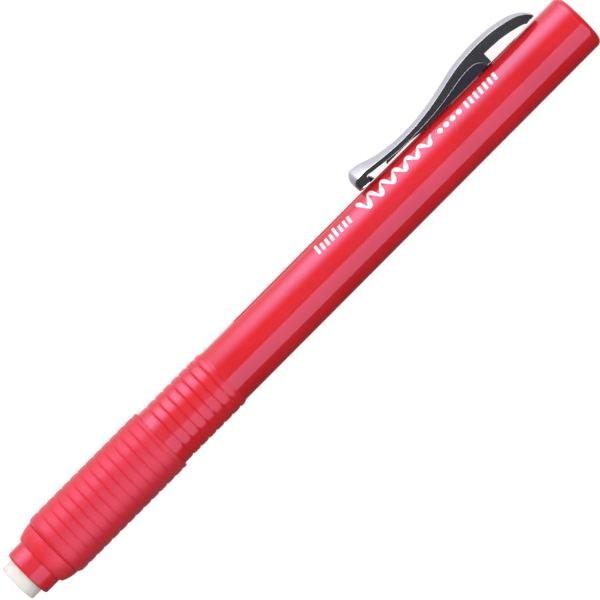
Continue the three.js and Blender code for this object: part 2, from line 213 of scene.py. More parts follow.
def revolved(outline, around=AROUND):
    """Points and faces of a closed (x, radius) outline turned about the X axis."""
    points, rows = [], []
    for x, r in outline:
        if r < 1e-6:
            rows.append([len(points)] * around)
            points.append((x, 0, 0))
            continue
        rows.append([len(points) + k for k in range(around)])
        for k in range(around):
            turn = 2 * math.pi * k / around
            points.append((x, r * math.cos(turn), r * math.sin(turn)))
    faces = []
    for row, after in zip(rows, rows[1:] + rows[:1]):
        if row[0] == row[1] and after[0] == after[1]:
            continue
        for k in range(around):
            n = (k + 1) % around
            corners = [row[k], row[n], after[n], after[k]]
            faces.append(list(dict.fromkeys(corners)))
    return points, faces


def curve_through(knots):
    """A smooth function of x through rising (x, value) knots."""
    xs = [x for x, _ in knots]
    vs = [v for _, v in knots]
    slopes = [(v1 - v0) / (x1 - x0) for x0, x1, v0, v1 in zip(xs, xs[1:], vs, vs[1:])]
    inner = [2 * a * b / (a + b) if a * b > 0 else 0 for a, b in zip(slopes, slopes[1:])]
    tangents = [slopes[0], *inner, slopes[-1]]

    def value(x):
        i = min(max(bisect_right(xs, x) - 1, 0), len(xs) - 2)
        gap = xs[i + 1] - xs[i]
        t = min(max((x - xs[i]) / gap, 0), 1)
        level = (2 * t**3 - 3 * t**2 + 1) * vs[i] + (3 * t**2 - 2 * t**3) * vs[i + 1]
        lean = (t**3 - 2 * t**2 + t) * tangents[i] + (t**3 - t**2) * tangents[i + 1]
        return level + lean * gap

    return value


def lofted(sections):
    """Points and faces of a solid skinned over rings with the same number of points."""
    count = len(sections[0])
    points = [p for ring in sections for p in ring]
    faces = []
    for i in range(len(sections) - 1):
        for j in range(count):
            a, b = i * count + j, i * count + (j + 1) % count
            faces.append([a, b, b + count, a + count])
    faces.append(list(range(count)))
    faces.append([(len(sections) - 1) * count + j for j in range(count)])
    return points, faces


def plate(outline, half, edge=0.06):
    """A plate in the XZ plane with small bevels, a little thinner towards the clip's crown."""
    rings = []
    middle_point = Vector((sum(x for x, _ in outline), sum(z for _, z in outline))) / len(outline)
    for y, inset in ((-half, edge), (-half + edge, 0), (half - edge, 0), (half, edge)):
        ring = []
        for x, z in outline:
            inward = (middle_point - Vector((x, z))).normalized() * inset
            thickness = 1 - TAPER * (z - TAPER_Z)
            ring.append((x + inward.x, y * thickness, z + inward.y))
        rings.append(ring)
    return lofted(rings)


def swept(path, wire, around=10):
    """Points and faces of a round wire along a path."""
    never_along = Vector((0.3, 0.2, 1))
    rings = []
    for i, here in enumerate(path):
        ahead = path[min(i + 1, len(path) - 1)] - path[max(i - 1, 0)]
        across = ahead.cross(never_along).normalized()
        up = across.cross(ahead).normalized()
        ring = []
        for k in range(around):
            turn = 2 * math.pi * k / around
            ring.append(tuple(here + (across * math.cos(turn) + up * math.sin(turn)) * wire))
        rings.append(ring)
    return lofted(rings)


# ---------------------------------------------------------------- materials


def colour_ramp(tree, factor, stops):
    """Colours along factor, from (position, colour) stops in rising order."""
    ramp = tree.nodes.new("ShaderNodeValToRGB")
    elements = ramp.color_ramp.elements
    while len(elements) < len(stops):
        elements.new(0.5)
    for element, (position, colour) in zip(elements, stops):
        element.position = position
        element.color = (*colour, 1)
    tree.links.new(factor, ramp.inputs["Fac"])
    return ramp.outputs["Color"]


class Finish:
    """A node material. Textures read object coordinates, so scales are per metre."""

    def __init__(self, name, **constants):
        self.material = bpy.data.materials.new(name)
        self.material.use_nodes = True
        self.tree = self.material.node_tree
        self.shader = self.tree.nodes["Principled BSDF"]
        self.place = self.node("ShaderNodeTexCoord").outputs["Object"]
        for socket, value in constants.items():
            self.shader.inputs[socket.replace("_", " ")].default_value = value

    def node(self, kind):
        return self.tree.nodes.new(kind)

    def link(self, output, socket):
        self.tree.links.new(output, socket)

    def noise(self, scale, detail, stretch=(1, 1, 1)):
        """Noise from 0 to 1, drawn out along an axis where stretch is below 1."""
        mapping = self.node("ShaderNodeMapping")
        mapping.inputs["Scale"].default_value = stretch
        self.link(self.place, mapping.inputs["Vector"])
        texture = self.node("ShaderNodeTexNoise")
        texture.inputs["Scale"].default_value = scale
        texture.inputs["Detail"].default_value = detail
        self.link(mapping.outputs[0], texture.inputs["Vector"])
        return texture.outputs["Fac"]

    def colour(self, factor, stops):
        """The base colour runs through (position, colour) stops along factor."""
        self.link(colour_ramp(self.tree, factor, stops), self.shader.inputs["Base Color"])

    def roughness(self, noise, low, high):
        """The roughness runs from low to high over the middle of the noise, where most of it is."""
        limits = self.node("ShaderNodeMapRange")
        for limit, value in (("From Min", 0.3), ("From Max", 0.7), ("To Min", low), ("To Max", high)):
            limits.inputs[limit].default_value = value
        self.link(noise, limits.inputs["Value"])
        self.link(limits.outputs["Result"], self.shader.inputs["Roughness"])

    def bump(self, *layers):
        """Each layer is (height, depth in mm)."""
        normal = None
        for height, depth in layers:
            bump = self.node("ShaderNodeBump")
            bump.inputs["Distance"].default_value = depth * MM
            self.link(height, bump.inputs["Height"])
            if normal:
                self.link(normal, bump.inputs["Normal"])
            normal = bump.outputs["Normal"]
        self.link(normal, self.shader.inputs["Normal"])
        return self


def scaled(colour, factor):
    return tuple(min(c * factor, 1) for c in colour)


def shades(colour, *factors):
    """The same colour, darker or lighter by each factor."""
    return [scaled(colour, factor) for factor in factors]


def red_plastic(name, low, high):
    """Glossy moulded plastic, its roughness between low and high."""
    finish = Finish(name, IOR=1.5, Specular_Tint=COOL_SHINE)
    dark, mid, light = shades(RED, 0.93, 1.0, 1.06)
    finish.colour(finish.noise(90, 2), [(0.3, dark), (0.5, mid), (0.7, light)])
    finish.roughness(finish.noise(420, 4, (0.15, 1, 1)), low, high)
    orange_peel = finish.noise(520, 2)
    scuffs = finish.noise(2600, 5, (0.04, 1, 1))
    return finish.bump((orange_peel, 0.004), (scuffs, 0.0015)).material


def red_rubber():
    finish = Finish(
        "red_rubber",
        IOR=1.5,
        Sheen_Weight=0.04,
        Sheen_Roughness=0.4,
        Specular_Tint=COOL_SHINE,
    )
    dark, mid, light = shades(RUBBER_RED, 0.94, 1.0, 1.06)
    finish.colour(finish.noise(3400, 4), [(0.3, dark), (0.5, mid), (0.72, light)])
    finish.roughness(finish.noise(2100, 3), 0.37, 0.44)
    grain = finish.noise(5200, 3)
    ripple = finish.noise(500, 2)
    return finish.bump((grain, 0.01), (ripple, 0.006)).material


def red_satin():
    finish = Finish("red_satin_plastic", IOR=1.5, Specular_Tint=COOL_SHINE)
    dark, mid, light = shades(RED, 0.97, 1.03, 1.09)
    finish.colour(finish.noise(700, 3), [(0.3, dark), (0.5, mid), (0.7, light)])
    finish.roughness(finish.noise(1500, 3), 0.36, 0.46)
    return finish.bump((finish.noise(6000, 2), 0.008)).material


def white_vinyl():
    finish = Finish(
        "white_vinyl",
        IOR=1.45,
        Subsurface_Weight=0.6,
        Subsurface_Scale=0.004,
        Subsurface_Radius=(1.0, 0.8, 0.6),
    )
    smudge, mid, clean = (0.76, 0.71, 0.66), (0.80, 0.755, 0.71), (0.83, 0.79, 0.75)
    finish.colour(finish.noise(380, 5), [(0.25, smudge), (0.45, mid), (0.62, clean)])
    finish.roughness(finish.noise(800, 3), 0.45, 0.62)
    crumbs = finish.noise(2600, 4)
    pores = finish.noise(9000, 2)
    return finish.bump((crumbs, 0.02), (pores, 0.008)).material


def plated(name, colour, low, high, grain):
    """Plated metal, its roughness between low and high, brushed grain mm deep."""
    finish = Finish(name, Metallic=1.0)
    dark, mid, light = shades(colour, 0.93, 1.0, 1.05)
    finish.colour(finish.noise(260, 3), [(0.3, dark), (0.5, mid), (0.7, light)])
    finish.roughness(finish.noise(900, 5, (0.1, 1, 1)), low, high)
    brushed = finish.noise(5200, 4, (0.03, 1, 1))
    return finish.bump((brushed, grain)).material


def spring_steel():
    finish = Finish("spring_steel", Metallic=1.0)
    finish.colour(finish.noise(900, 3), [(0.3, (0.38, 0.37, 0.36)), (0.7, (0.55, 0.54, 0.53))])
    finish.roughness(finish.noise(2400, 4, (0.2, 1, 1)), 0.2, 0.38)
    return finish.bump((finish.noise(6000, 3, (0.1, 1, 1)), 0.003)).material


def moulded_white():
    finish = Finish("moulded_white", IOR=1.49)
    finish.colour(finish.noise(500, 3), [(0.3, (0.7, 0.69, 0.66)), (0.7, (0.8, 0.79, 0.77))])
    finish.roughness(finish.noise(1200, 3), 0.34, 0.5)
    return finish.bump((finish.noise(4000, 3), 0.006)).material


def white_ink():
    finish = Finish("white_ink", IOR=1.48)
    finish.colour(finish.noise(1500, 4), [(0.25, (0.82, 0.8, 0.8)), (0.5, (0.93, 0.92, 0.92))])
    finish.roughness(finish.noise(2600, 3), 0.22, 0.36)
    return finish.bump((finish.noise(5000, 3), 0.004)).material


RED = (0.72, 0.021, 0.026)
RUBBER_RED = (0.70, 0.018, 0.027)
PLATE = (0.70, 0.68, 0.73)
# Near black with a violet tint: painted shade for the post, web and pad under the clip, which sit in
# shadow.
PAINTED_SHADE_PLATE = (0.035, 0.032, 0.044)
COOL_SHINE = (0.45, 0.58, 1.0, 1)

GLOSS = red_plastic("red_gloss_plastic", 0.07, 0.16)
HANDLED = red_plastic("red_handled_plastic", 0.16, 0.26)
RUBBER = red_rubber()
SATIN = red_satin()
VINYL = white_vinyl()
METAL = plated("polished_plate", scaled(PLATE, 0.8), 0.1, 0.17, 0.0001)
SATIN_METAL = plated("satin_plate", scaled(PLATE, 0.78), 0.3, 0.42, 0.0012)
# Painted shade: the post, web and pad under the clip get this dark plate because they sit in shadow.
PAINTED_SHADE_METAL = plated("painted_shade_plate", PAINTED_SHADE_PLATE, 0.25, 0.35, 0.0006)
STEEL = spring_steel()
MOULDED = moulded_white()
INK = white_ink()

# ---------------------------------------------------------------- barrel


def rear_barrel():
    """The plain tube, with a tongue that goes into the ribbed section."""
    tongue = span("rear_barrel")[1]
    outline = rounded([
        (SEAM_X, BARREL_R, 0),
        (STEP_X - JOIN, BARREL_R, 0),
        (STEP_X - JOIN, TONGUE_R, 0),
        (tongue, TONGUE_R, 0.2),
        (tongue, BORE_R, 0.1),
        (SEAM_X, BORE_R, 0.1),
    ])
    shell = revolved(outline)
    barrel = make_piece("barrel_rear", *shell, GLOSS, "barrel", "barrel_plastic", ["rear_barrel"])
    cut_slot(barrel)


def cut_slot(barrel):
    """The round-ended slot under the clip, with its edges softened."""
    ring = []
    for centre, first_turn in ((SLOT_START + SLOT_HALF, 0.5), (SLOT_END - SLOT_HALF, 1.5)):
        for k in range(SLOT_END_STEPS + 1):
            turn = math.pi * (first_turn + k / SLOT_END_STEPS)
            ring.append((centre + SLOT_HALF * math.cos(turn), SLOT_HALF * math.sin(turn)))
    rings = [[(x, y, z) for x, y in ring] for z in (SLOT_CUT_LOW, SLOT_CUT_HIGH)]
    points, faces = lofted(rings)
    mesh = bpy.data.meshes.new("slot_cutter")
    mesh.from_pydata([HOLDER @ Vector(p) for p in points], [], faces)
    cutter = new_object("slot_cutter", mesh)
    cut = barrel.modifiers.new("slot", "BOOLEAN")
    cut.object = cutter
    cut.solver = "EXACT"
    edge = barrel.modifiers.new("edge", "BEVEL")
    edge.width = SLOT_BEVEL * MM
    edge.segments = 2
    edge.limit_method = "ANGLE"
    edge.angle_limit = math.radians(50)
    bake_modifiers(barrel)
    bpy.data.objects.remove(cutter)
    soften(barrel.data, SHARP)


def bake_modifiers(piece):
    """The modifiers become part of the mesh."""
    graph = bpy.context.evaluated_depsgraph_get()
    final = bpy.data.meshes.new_from_object(piece.evaluated_get(graph))
    piece.modifiers.clear()
    piece.data = final


def scallops(x, count, pitch, crest, groove, sharpness, steps=14):
    """Outline of a row of convex ribs between narrow grooves, the first groove at x."""
    points = []
    for i in range(count - 1):
        for k in range(steps):
            t = k / steps
            bow = 1 - abs(2 * t - 1) ** sharpness
            points.append((x + (i + t) * pitch, groove + (crest - groove) * bow))
    points.append((x + (count - 1) * pitch, groove))
    return points


def ramp_up(x, length, low, high, steps=12):
    """Outline of a gentle ramp from one radius to another."""
    points = []
    for k in range(steps + 1):
        share = (1 - math.cos(math.pi * k / steps)) / 2
        points.append((x + length * k / steps, low + (high - low) * share))
    return points


def front_barrel():
    """The ribbed section, with the core inside the grip and the guide for the eraser."""
    ribs_end = GRIP_START - 0.07
    core_end = span("front_barrel")[1]
    last = ribs_end - RIB_LAND
    first = last - (RIBS - 1) * PITCH
    outline = [
        (STEP_X, LAP_R),
        *ramp_up(STEP_X, STEP_RISE, BARREL_R, RIB_R),
        (first - 0.5, RIB_R),
        (first - 0.2, RIB_R - 0.05),
        *scallops(first, RIBS, PITCH, RIB_R, RIB_R - RIB_DEPTH, 5),
        (last + 0.2, RIB_R - 0.05),
        (last + 0.5, RIB_R),
        (ribs_end, RIB_R),
        (ribs_end, CORE_R),
        (core_end, CORE_R),
        (core_end, COLLAR_BORE_R),
        (GUIDE_END, COLLAR_BORE_R),
        (GUIDE_END, GUIDE_R),
        (GUIDE_START, GUIDE_R),
        (GUIDE_START - GUIDE_LEAD_IN, BORE_R),
        (LAP_END, BORE_R),
        (LAP_END, LAP_R),
    ]
    shell = revolved(outline)
    make_piece("barrel_front", *shell, HANDLED, "barrel", "barrel_plastic", ["front_barrel"])


def tail_plug():
    """The rounded end cap, with a spigot inside the tube."""
    steps = 12
    rim = SEAM_X - JOIN
    face_r = BARREL_R - PLUG_FILLET
    outline = [(0.0, 0.0), (0.0, face_r - PLUG_FLAT_EDGE)]
    for k in range(steps + 1):
        turn = math.pi / 2 * k / steps
        outline.append((PLUG_FILLET * (1 - math.cos(turn)), face_r + PLUG_FILLET * math.sin(turn)))
    outline += [(rim, BARREL_R), (rim, PLUG_SPIGOT_R), (PLUG_DEPTH, PLUG_SPIGOT_R)]
    outline += [(PLUG_DEPTH, PLUG_CUP_R), (rim, PLUG_CUP_R), (rim, 0.0)]
    make_piece("tail_cap", *revolved(outline), GLOSS, "barrel", "barrel_plastic", ["tail_plug"])


# ---------------------------------------------------------------- front end


def rubber_grip():
    """The grooved sleeve, its end faces slightly bulged."""
    last = GRIP_END - GRIP_FRONT_LAND
    first = last - (GRIP_GROOVES - 1) * PITCH
    crest = GRIP_R
    outline = [
        (GRIP_START, GRIP_BORE_R),
        (GRIP_START - 0.06, crest - 0.44),
        (GRIP_START - 0.04, crest - 0.12),
        (GRIP_START + 0.2, crest - 0.02),
        (first - 0.45, crest),
        (first - 0.2, crest - 0.06),
        *scallops(first, GRIP_GROOVES, PITCH, crest, crest - GRIP_DEPTH, 4),
        (last + 0.2, crest - 0.06),
        (last + 0.45, crest),
        (GRIP_END - 0.7, crest - 0.02),
        (GRIP_END - 0.3, crest - 0.12),
        (GRIP_END + 0.03, crest - 0.32),
        (GRIP_END + 0.07, crest - 0.45),
        (GRIP_END, GRIP_BORE_R),
    ]
    make_piece("grip_sleeve", *revolved(outline), RUBBER, "barrel", "grip_rubber", ["rubber_grip"])


def grip_collar():
    """A ring that tapers more and more towards its front, with softened edges."""
    steps = 10
    taper = []
    for k in range(1, steps):
        share = k / steps
        x = COLLAR_START + share * (COLLAR_END - COLLAR_START)
        taper.append((x, COLLAR_R - (COLLAR_R - COLLAR_FRONT_R) * share**2))
    outline = [
        (COLLAR_START, COLLAR_BORE_R),
        (COLLAR_START, COLLAR_R - 0.08),
        (COLLAR_START + 0.1, COLLAR_R),
        *taper,
        (COLLAR_END - 0.08, COLLAR_EDGE_R),
        (COLLAR_END, COLLAR_FACE_R),
        (COLLAR_END, COLLAR_BORE_R),
    ]
    make_piece("collar_ring", *revolved(outline), SATIN, "barrel", "collar_plastic", ["grip_collar"])


def nozzle():
    """The snout, with a tongue inside the collar."""
    start = span("nozzle")[0]
    shoulder = COLLAR_END + NOZZLE_GAP
    outline = rounded([
        (start, NOZZLE_TONGUE_R, 0),
        (shoulder, NOZZLE_TONGUE_R, 0),
        (shoulder, NOZZLE_R, 0.03),
        (NOZZLE_END, NOZZLE_R, 0.45),
        (NOZZLE_END, GUIDE_R, 0.12),
        (start, GUIDE_R, 0),
    ])
    make_piece("nozzle_tip", *revolved(outline), HANDLED, "barrel", "barrel_plastic", ["nozzle"])


def eraser_stick():
    """The refill, with its working edge worn round."""
    start = span("eraser_stick")[0]
    outline = [
        (start, 0.0),
        (start, STICK_R - 0.3),
        (start + 0.3, STICK_R),
        (LENGTH - 0.28, STICK_R),
        (LENGTH - 0.15, STICK_R - 0.04),
        (LENGTH - 0.06, STICK_R - 0.11),
        (LENGTH - 0.01, STICK_R - 0.23),
        (LENGTH, STICK_R - 0.5),
        (LENGTH, 0.0),
    ]
    make_piece("stick", *revolved(outline), VINYL, "refill", "eraser", ["eraser_stick"], sharp=60)


# ---------------------------------------------------------------- clip

# Heights are above the holder's axis, and x is from the tail end.
REAR_ROUND = 1.3
REAR_STEPS = 10
REAR_END_WIDTH = 0.62
NOSE_ROUND = 1.3
NOSE_STEPS = 22
NOSE_FACE = 0.95
NOSE_LIFT = 0.2
NOSE_END_WIDTH = 0.5
NOSE_END_CROWN = 0.35
LIP_Z = 5.52
DRAFT = 0.09
WALL_HEIGHT = 1.8
WALL = 0.6
ROOF = 0.7
HEM_STEP = 0.02
REAR_SOLID_END = 6.9
POST_SOLID_START = 14.88
POST_SOLID_END = 15.66
NOSE_SOLID_START = 41.72
CROWN_STEPS = 16
FILLET_STEPS = 4
EVEN_STATIONS = 130
HEM_STATIONS = [
    6.8, 6.85, 6.95, 14.84, 14.86, 14.89, 14.91, 15.64, 15.68, 41.45, 41.5, 41.6, 41.7, 41.75, 41.8,
]

edge_height = curve_through([
    (5.0, 6.0), (6.0, 7.05), (7.2, 7.75), (8.2, 8.12), (9.8, 8.5), (11.3, 8.76),
    (13.0, 8.93), (15.0, 8.98), (17.0, 8.9), (19.2, 8.7), (21.5, 8.28), (23.9, 7.72),
    (26.2, 7.26), (28.6, 6.92), (31.0, 6.7), (33.4, 6.66), (35.8, 6.78), (38.1, 7.02),
    (40.0, 7.3), (41.4, 7.48), (42.6, 7.47), (43.9, 7.2),
])
crown_height = curve_through([
    (5.0, 0.2), (8.2, 0.42), (15.0, 0.45), (28.6, 0.4), (33.4, 0.45), (38.1, 0.68),
    (41.2, 1.2), (43.9, 1.55),
])
crown_bow = curve_through([(5.0, 1.6), (8.0, 1.25), (37.5, 1.2), (42.0, 1.15), (43.9, 1.3)])
edge_fillet = curve_through([(5.0, 0.2), (7.0, 0.045), (40.0, 0.045), (42.4, 0.3), (43.9, 0.45)])
half_width = curve_through([
    (5.0, 2.25), (6.2, 2.35), (10.0, 2.55), (17.0, 2.55), (25.0, 2.3), (32.0, 2.2), (37.0, 2.45),
    (41.0, 3.0), (43.9, 3.2),
])
hem_height = curve_through([
    (5.0, 5.7), (6.85, 5.7), (6.95, 5.86), (8.2, 6.3), (9.8, 6.7), (12.0, 7.02), (14.85, 7.15),
    (14.9, 5.5), (15.65, 5.5), (15.8, 5.85), (16.2, 6.5), (16.8, 6.95), (17.6, 7.15), (18.6, 7.2),
    (20.0, 7.08), (22.0, 6.75), (24.0, 6.4), (26.0, 6.12), (28.0, 5.95), (31.0, 5.83), (34.0, 5.84),
    (37.0, 6.1), (40.0, 6.5), (41.2, 6.62), (41.5, 6.45), (41.75, LIP_Z), (43.9, LIP_Z),
])


def clip_stations():
    """Where the clip's sections are, closer together at its ends and where its hem steps."""
    length = CLIP_END - CLIP_START
    even = [CLIP_START + k * length / EVEN_STATIONS for k in range(1, EVEN_STATIONS)]
    clear = [x for x in even if CLIP_START + REAR_ROUND < x < CLIP_END - NOSE_ROUND]
    rear = [REAR_ROUND * (1 - math.cos(math.pi / 2 * k / REAR_STEPS)) for k in range(REAR_STEPS + 1)]
    nose = [NOSE_ROUND * (1 - math.cos(math.pi / 2 * k / NOSE_STEPS)) for k in range(NOSE_STEPS + 1)]
    ends = [CLIP_START + x for x in rear] + [CLIP_END - x for x in nose]
    return sorted(set(round(x, 4) for x in HEM_STATIONS + clear + ends))


def end_round(x):
    """How full the clip is towards its rear and its nose, each from 0 at the very end to 1."""
    rear = min((x - CLIP_START) / REAR_ROUND, 1)
    nose = min((CLIP_END - x) / NOSE_ROUND, 1)
    return math.sqrt(max(1 - (1 - rear) ** 2, 0)), math.sqrt(max(1 - (1 - nose) ** 2, 0))


def at_least(least, share):
    """A share of 0 to 1 brought into the range from least to 1."""
    return least + (1 - least) * share


def is_solid(x):
    """Whether the clip has no hollow under it at x."""
    return x < REAR_SOLID_END or POST_SOLID_START < x < POST_SOLID_END or x > NOSE_SOLID_START


def clip_section(x):
    """The clip cut across at x: its crown, one side, its hollow and the other side."""
    rear, nose = end_round(x)
    half = half_width(x) * at_least(REAR_END_WIDTH, rear) * at_least(NOSE_END_WIDTH, nose)
    hem = hem_height(x) + NOSE_LIFT * (1 - nose)
    edge = hem + NOSE_FACE + (edge_height(x) - hem - NOSE_FACE) * nose
    crown = crown_height(x) * at_least(NOSE_END_CROWN, nose)
    bow = crown_bow(x)
    fillet = min(edge_fillet(x), (edge - hem) / 3)
    upper = half - DRAFT * WALL_HEIGHT
    lower = upper + DRAFT * (edge - hem)

    def top(y):
        return edge + crown * (1 - abs(y / upper) ** bow)

    def arc(y, z, turns):
        return [(y + fillet * math.cos(turn), z + fillet * math.sin(turn)) for turn in turns]

    slope = math.atan(crown * bow / upper)
    reach = upper - fillet + fillet * math.sin(slope)
    shoulder = top(reach) - fillet * math.cos(slope)
    low_turns = [math.pi / 2 * (k / FILLET_STEPS - 1) for k in range(FILLET_STEPS + 1)]
    high_turns = [(math.pi / 2 - slope) * k / FILLET_STEPS for k in range(FILLET_STEPS)]
    side = [
        *arc(lower - fillet, hem + fillet, low_turns),
        (lower - DRAFT * 0.3 * fillet, hem + 1.3 * fillet),
        ((lower + upper) / 2, (hem + shoulder) / 2),
        (upper + DRAFT * 0.3 * fillet, shoulder - 0.3 * fillet),
        *arc(upper - fillet, shoulder, high_turns),
    ]
    far_side = [(-y, z) for y, z in reversed(side)]

    over = []
    for k in range(CROWN_STEPS + 1):
        y = reach * (1 - 2 * k / CROWN_STEPS)
        over.append((y, top(y)))

    inner_half = upper - WALL
    under = []
    for k in range(CROWN_STEPS + 1):
        y = -inner_half + 2 * inner_half * k / CROWN_STEPS
        depth = 0 if is_solid(x) else max(top(y) - ROOF - hem, 0)
        under.append((y, hem + HEM_STEP + depth))

    ring = [*over, *far_side, (-inner_half, hem), *under, (inner_half, hem), *side]
    return [(x, y, z) for y, z in ring]


def clip_shell():
    """The bright spoon, with a satin crown."""
    sections = [clip_section(x) for x in clip_stations()]
    shell = lofted(sections)
    clip = make_piece("clip_shell", *shell, METAL, "clip", "clip_metal", ["clip_lever"], sharp=48)
    clip.data.materials.append(SATIN_METAL)
    for face in clip.data.polygons:
        face.material_index = int(face.index % len(sections[0]) < CROWN_STEPS)


POST_BACK = PIVOT.x - 0.35
FOOT_HALF = 0.45
BLADE_HALF = 0.6
BLADE_Z = 5.2
BLADE_FRONT_Z = 5.5
PAD_HALF = 2.2
PAD_TOP_Z = 7.0
PAD_EDGE = 0.12


def clip_foot():
    """The post through the slot, the hub on the pin and the heel over the spring."""
    hub_back, hub_front = PIVOT.x - 1.2, PIVOT.x + 1.7
    hub_low = 0.9
    heel_x, heel_low, heel_high = 11.5, 1.85, 2.9
    outline = [
        (POST_BACK, 8.3),
        (POST_BACK, 4.9),
        (hub_back, 4.5),
        (hub_back, PIVOT.z + 1.1),
        (heel_x, heel_high),
        (heel_x, heel_low),
        (hub_back, 1.4),
        (hub_back + 0.5, hub_low),
        (hub_front - 0.7, hub_low),
        (hub_front, 2.0),
        (hub_front, 5.4),
    ]
    make_piece("clip_foot", *plate(outline, FOOT_HALF), PAINTED_SHADE_METAL, "clip", "clip_metal")


def clip_blade():
    """The web under the clip."""
    back = POST_BACK + 0.05
    under = [(back, BLADE_Z), (30.5, BLADE_Z), (32.5, BLADE_FRONT_Z), (37.8, BLADE_FRONT_Z)]
    over = [(37.2, 6.2), (33, 6.45), (28.6, 6.7), (23.9, 7.5), (19, 8.4), (back, 8.5)]
    make_piece("clip_blade", *plate(under + over, BLADE_HALF), PAINTED_SHADE_METAL, "clip", "clip_metal")


def clip_pad():
    """The pad under the clip's nose."""
    outline = [(42.2, PAD_TOP_Z), (41.7, PAD_TOP_Z), (40.8, LIP_Z), (41.8, LIP_Z)]
    make_piece("clip_pad", *plate(outline, PAD_HALF, PAD_EDGE), PAINTED_SHADE_METAL, "clip", "clip_metal")


SPRING_X = 12.3
SPRING_R = 0.6
SPRING_WIRE = 0.13
SPRING_LOW = -1.34
SPRING_HIGH = 1.42
SPRING_TURNS = 5


def clip_spring():
    """The coil spring under the clip's heel."""
    steps = 24
    path = []
    for k in range(SPRING_TURNS * steps + 1):
        turn = 2 * math.pi * k / steps
        z = SPRING_LOW + (SPRING_HIGH - SPRING_LOW) * k / (SPRING_TURNS * steps)
        path.append(Vector((SPRING_X + SPRING_R * math.cos(turn), SPRING_R * math.sin(turn), z)))
    coil = swept(path, SPRING_WIRE)
    make_piece("return_spring", *coil, STEEL, "carriage", "steel", ["clip_spring"])


def pivot_pin():
    """The pin that the clip rocks on, with chamfered ends."""
    half, r, chamfer, around = 2.9, 0.5, 0.12, 32
    rings = []
    profile = [(-half, r - chamfer), (-half + chamfer, r), (half - chamfer, r), (half, r - chamfer)]
    for y, ring_r in profile:
        ring = []
        for k in range(around):
            turn = 2 * math.pi * k / around
            ring.append((PIVOT.x + ring_r * math.cos(turn), y, PIVOT.z + ring_r * math.sin(turn)))
        rings.append(ring)
    make_piece("pin", *lofted(rings), STEEL, "carriage", "steel", ["clip_pivot_pin"])


# ---------------------------------------------------------------- print

INK_HEIGHT = 0.012
INK_DEPTH = 0.05
BAR_SLANT = 0.2
BAR_STEPS = 12


def stroke(line, half):
    """A thin inlay along a line of (x, degrees) points, half(k, n) wide on each side of point k of n."""
    per_degree = BARREL_R * math.pi / 180
    flat = [Vector((x, degrees * per_degree)) for x, degrees in line]
    sections = []
    for k, here in enumerate(flat):
        ahead = (flat[min(k + 1, len(flat) - 1)] - flat[max(k - 1, 0)]).normalized()
        across = Vector((-ahead.y, ahead.x)) * half(k, len(flat) - 1)
        ring = []
        outer = [(BARREL_R + INK_HEIGHT, share) for share in (-1, -0.5, 0, 0.5, 1)]
        inner = [(BARREL_R - INK_DEPTH, share) for share in (1, 0, -1)]
        for r, share in outer + inner:
            x, arc = here + across * share
            turn = arc / BARREL_R
            ring.append((x, r * math.cos(turn), r * math.sin(turn)))
        sections.append(ring)
    return lofted(sections)


def bar(x, foot, head, half):
    """A slanting bar from foot to head, in degrees round the barrel."""
    end = x - BAR_SLANT
    line = []
    for k in range(BAR_STEPS + 1):
        line.append((x + (end - x) * k / BAR_STEPS, foot + (head - foot) * k / BAR_STEPS))
    return stroke(line, lambda k, n: half)


def front_bars():
    """Eight bars, every fourth one longer."""
    return [bar(55.2 - 0.98 * k, 42, 59 if k % 4 else 66, 0.24) for k in range(8)]


def rear_bars():
    return [bar(22.6 - 1.05 * k, 38, 55, 0.26) for k in range(7)]


def wave():
    """A wave that gets lower towards the tail, its line thick and thin by turns."""
    start, length, crests, pulses, steps = 45.9, 16.1, 6, 12, 180
    line = []
    for k in range(steps + 1):
        share = k / steps
        swing = (14 - 7 * share) * math.cos(2 * math.pi * crests * share)
        line.append((start - length * share, 51 - 3 * share + swing))
    return stroke(line, lambda k, n: 0.3 + 0.12 * math.sin(2 * math.pi * pulses * k / n))


def dot(x, degrees=46.5, r=0.5, steps=16):
    line = [(x - r * math.cos(math.pi * k / steps), degrees) for k in range(steps + 1)]
    return stroke(line, lambda k, n: max(r * math.sin(math.pi * k / n), 0.02))


def barrel_print():
    """Plain bars, a wave and dots in white ink."""
    dots = [dot(28.3 - 1.4 * k) for k in range(4)]
    points, faces = [], []
    for more, sides in [*front_bars(), wave(), *dots, *rear_bars()]:
        faces += [[i + len(points) for i in side] for side in sides]
        points += more
    make_piece("barrel_mark", points, faces, INK, "barrel", "barrel_plastic")


rear_barrel()
front_barrel()
tail_plug()
rubber_grip()
grip_collar()
nozzle()
eraser_stick()
clip_shell()
clip_foot()
clip_blade()
clip_pad()
clip_spring()
pivot_pin()
barrel_print()

CARRIED = {"slider_carriage": MOULDED, "eraser_holder": MOULDED, "detent_finger": STEEL}
for node, finish in CARRIED.items():
    slots = frame["nodes"][node].data.materials
    slots.clear()
    slots.append(finish)

# ---------------------------------------------------------------- camera

TILT = math.radians(8)
DISTANCE = 0.8
WIDTH_SEEN = 0.0946
ROLL = math.radians(44.87)
AIM_X = 62.62
AIM_DROP = 0.02

to_camera = SIDE * math.cos(TILT) + CLIP_WAY * math.sin(TILT)
clip_seen = CLIP_WAY * math.cos(TILT) - SIDE * math.sin(TILT)
tail_seen = -ALONG
camera_up = tail_seen * math.cos(ROLL) + clip_seen * math.sin(ROLL)
camera_right = tail_seen * math.sin(ROLL) - clip_seen * math.cos(ROLL)
aim = AXIS + ALONG * (AIM_X * MM) - clip_seen * (AIM_DROP * MM)

camera = new_object("camera", bpy.data.cameras.new("camera"))
camera.data.sensor_width = 36
camera.data.lens = camera.data.sensor_width * DISTANCE / WIDTH_SEEN
camera.data.clip_start = 0.05
camera.data.clip_end = 20
camera.matrix_world = placed(aim + to_camera * DISTANCE, camera_right, camera_up, to_camera)
bpy.context.scene.camera = camera

# ---------------------------------------------------------------- floor and light

